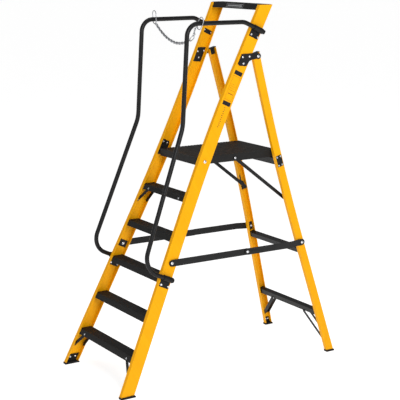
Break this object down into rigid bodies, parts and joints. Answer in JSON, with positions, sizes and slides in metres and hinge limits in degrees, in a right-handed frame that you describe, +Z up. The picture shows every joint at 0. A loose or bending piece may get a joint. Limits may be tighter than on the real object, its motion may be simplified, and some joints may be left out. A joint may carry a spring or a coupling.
{
  "type": "platform step ladder",
  "caption": "Folding fibreglass platform step ladder with ribbed treads, braced prop legs, looped handrails and a safety chain across the entry.",
  "frame": {"origin": "on the floor, in the middle of the footprint of the open ladder", "axes": "+Z up along the height, -Y towards the climbing side, +Y towards the prop legs, X across the width, the ladder being symmetric about X = 0 apart from its chain and one front brace of tread 5"},
  "size_m": [0.8406, 1.7794, 2.49],
  "materials": {
    "fibreglass": "satin pultruded fibreglass, yellow all through",
    "black_extrusion": "matt black powder coat on ribbed aluminium",
    "black_tube": "semi-gloss black powder coat on tube",
    "black_steel": "satin black powder coat on pressed plate",
    "black_moulding": "matt black moulding",
    "rubber": "matt black rubber",
    "zinc_steel": "zinc plated wire"
  },
  "bodies": {
    "front_frame": {"stile_right": "fibreglass", "stile_left": "fibreglass", "foot_front_right": "rubber", "foot_front_left": "rubber", "tread_1_brace_front_right": "black_steel", "tread_1_brace_front_left": "black_steel", "tread_1_brace_rear_right": "black_steel", "tread_1_brace_rear_left": "black_steel", "tread_5_brace_rear_right": "black_steel", "tread_5_brace_rear_left": "black_steel", "hinge_plate_right": "black_steel", "hinge_plate_left": "black_steel", "deck_bracket_right": "black_steel", "deck_bracket_left": "black_steel", "stay_pad_front_right": "black_steel", "stay_pad_front_left": "black_steel", "handrail_right": "black_tube", "handrail_left": "black_tube", "clamp_upper_right": "black_moulding", "clamp_upper_left": "black_moulding", "clamp_lower_right": "black_moulding", "clamp_lower_left": "black_moulding", "tread_1": "black_extrusion", "tread_2": "black_extrusion", "tread_3": "black_extrusion", "tread_4": "black_extrusion", "tread_5": "black_extrusion", "tread_5_brace_front_left": "black_steel", "top_rail": "black_extrusion", "chain_ring_left": "zinc_steel", "chain_ring_right": "zinc_steel", "anchor_chain": "zinc_steel", "snap_hook": "zinc_steel", "safety_chain": "zinc_steel"},
    "rear_frame": {"leg_right": "fibreglass", "leg_left": "fibreglass", "foot_rear_right": "rubber", "foot_rear_left": "rubber", "leg_cap_right": "black_steel", "leg_cap_left": "black_steel", "stay_pad_rear_right": "black_steel", "stay_pad_rear_left": "black_steel", "strut_bracket_right": "black_steel", "strut_bracket_left": "black_steel", "crossbar_brace_right": "black_steel", "crossbar_brace_left": "black_steel", "crossbar_deck": "black_steel", "crossbar_upper": "black_steel", "crossbar_lower": "black_steel"},
    "deck": {"platform_deck": "black_extrusion"},
    "strut_right": {"platform_strut_right": "black_steel"},
    "front_link_right": {"stay_front_right": "black_steel"},
    "rear_link_right": {"stay_rear_right": "black_steel"},
    "strut_left": {"platform_strut_left": "black_steel"},
    "front_link_left": {"stay_front_left": "black_steel"},
    "rear_link_left": {"stay_rear_left": "black_steel"},
    "gate": {"snap_gate": "zinc_steel"}
  },
  "joints": [
    {"name": "fold", "type": "hinge", "parent": "front_frame", "child": "rear_frame", "pos_m": [0, 0.26406, 2.14908], "axis": [-1, 0, 0], "range_deg": [0, 40.6]},
    {"name": "deck_tilt", "type": "hinge", "parent": "front_frame", "child": "deck", "pos_m": [0, -0.15782, 1.4715], "axis": [1, 0, 0], "range_deg": [0, 62.85]},
    {"name": "strut_swing_right", "type": "hinge", "parent": "rear_frame", "child": "strut_right", "pos_m": [0.2333, 0.53161, 1.14491], "axis": [-1, 0, 0], "range_deg": [0, 29.26]},
    {"name": "front_link_swing_right", "type": "hinge", "parent": "front_frame", "child": "front_link_right", "pos_m": [0.3312, -0.45022, 0.83261], "axis": [1, 0, 0], "range_deg": [0, 63.03]},
    {"name": "rear_link_swing_right", "type": "hinge", "parent": "rear_frame", "child": "rear_link_right", "pos_m": [0.315, 0.6332, 0.82754], "axis": [-1, 0, 0], "range_deg": [0, 66.07]},
    {"name": "strut_swing_left", "type": "hinge", "parent": "rear_frame", "child": "strut_left", "pos_m": [-0.2333, 0.53161, 1.14491], "axis": [-1, 0, 0], "range_deg": [0, 29.26]},
    {"name": "front_link_swing_left", "type": "hinge", "parent": "front_frame", "child": "front_link_left", "pos_m": [-0.3312, -0.45022, 0.83261], "axis": [1, 0, 0], "range_deg": [0, 63.03]},
    {"name": "rear_link_swing_left", "type": "hinge", "parent": "rear_frame", "child": "rear_link_left", "pos_m": [-0.315, 0.6332, 0.82754], "axis": [-1, 0, 0], "range_deg": [0, 66.07]},
    {"name": "gate_swing", "type": "hinge", "parent": "front_frame", "child": "gate", "pos_m": [0.169, -0.19965, 2.28], "axis": [0, 1, 0], "range_deg": [0, 28], "stiffness_Nm_per_rad": 0.05, "springref_deg": -20.05}
  ],
  "couplings": [
    {"joint": "deck_tilt", "follows": "fold", "ratio": 1.548},
    {"joint": "strut_swing_right", "follows": "fold", "ratio": 0.7206},
    {"joint": "front_link_swing_right", "follows": "fold", "ratio": 1.5524},
    {"joint": "rear_link_swing_right", "follows": "fold", "ratio": 1.6273},
    {"joint": "strut_swing_left", "follows": "fold", "ratio": 0.7206},
    {"joint": "front_link_swing_left", "follows": "fold", "ratio": 1.5524},
    {"joint": "rear_link_swing_left", "follows": "fold", "ratio": 1.6273}
  ]
}
